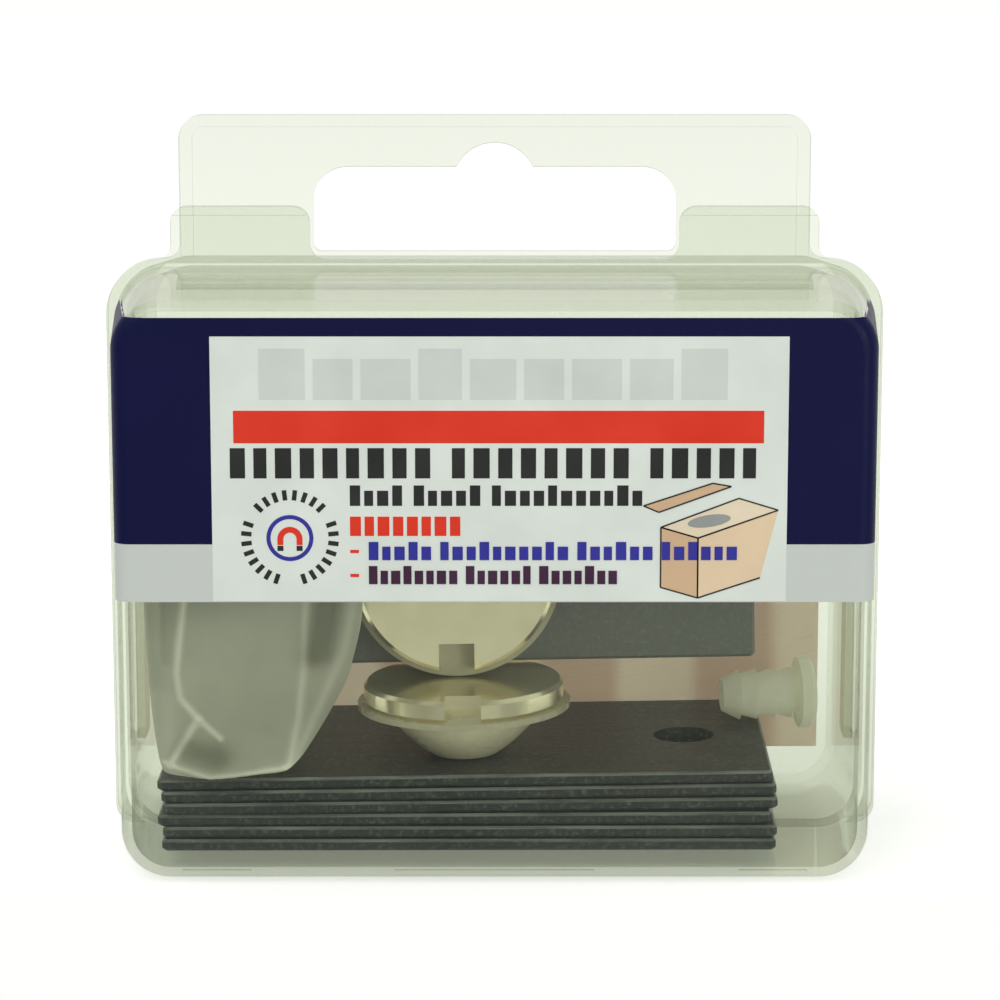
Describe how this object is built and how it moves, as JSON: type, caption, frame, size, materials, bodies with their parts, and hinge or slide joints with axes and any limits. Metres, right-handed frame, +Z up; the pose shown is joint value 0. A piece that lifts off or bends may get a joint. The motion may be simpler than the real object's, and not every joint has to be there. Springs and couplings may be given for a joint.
{
  "type": "boxed magnetic catch set",
  "caption": "Hinged clear plastic case with a hang tab and a blank-lettered label, holding round magnets, spacer plates, a strike plate, buffers and a bag of fixings.",
  "frame": {"origin": "on the floor under the middle of the closed case, at the middle of its box", "axes": "+Z up the case towards the hang tab, X along its width, -Y out of the labelled front, case joint plane at Y = 0"},
  "size_m": [0.0738, 0.0354, 0.0697],
  "materials": {
    "case_plastic": "translucent moulded polypropylene, slightly milky",
    "label_paper": "coated printed paper, navy band with a white panel",
    "bag_film": "frosted polythene film",
    "white_rubber": "soft white rubber",
    "dark_steel": "black coated steel",
    "black_spacer": "black coated, slightly dusty plate",
    "magnet_core": "plain sintered magnet",
    "nickel_plate": "bright nickel plate"
  },
  "bodies": {
    "case": {"rear_shell": "case_plastic", "back_label": "label_paper", "fixings_bag": "bag_film", "rubber_buffer_1": "white_rubber", "rubber_buffer_2": "white_rubber", "strike_plate": "dark_steel", "spacer_plate_1": "black_spacer", "spacer_plate_2": "black_spacer", "spacer_plate_3": "black_spacer", "spacer_plate_4": "black_spacer", "spacer_plate_5": "black_spacer", "spacer_plate_6": "black_spacer", "flat_magnet_cup": "nickel_plate", "flat_magnet_disc": "magnet_core", "flat_pole_disc": "nickel_plate", "standing_magnet_cup": "nickel_plate", "standing_magnet_disc": "magnet_core", "standing_pole_disc": "nickel_plate"},
    "lid": {"front_shell": "case_plastic", "front_label": "label_paper"}
  },
  "joints": [
    {"name": "lid_hinge", "type": "hinge", "parent": "case", "child": "lid", "pos_m": [0, 0, -0.00015], "axis": [1, 0, 0], "range_deg": [0, 180]}
  ]
}
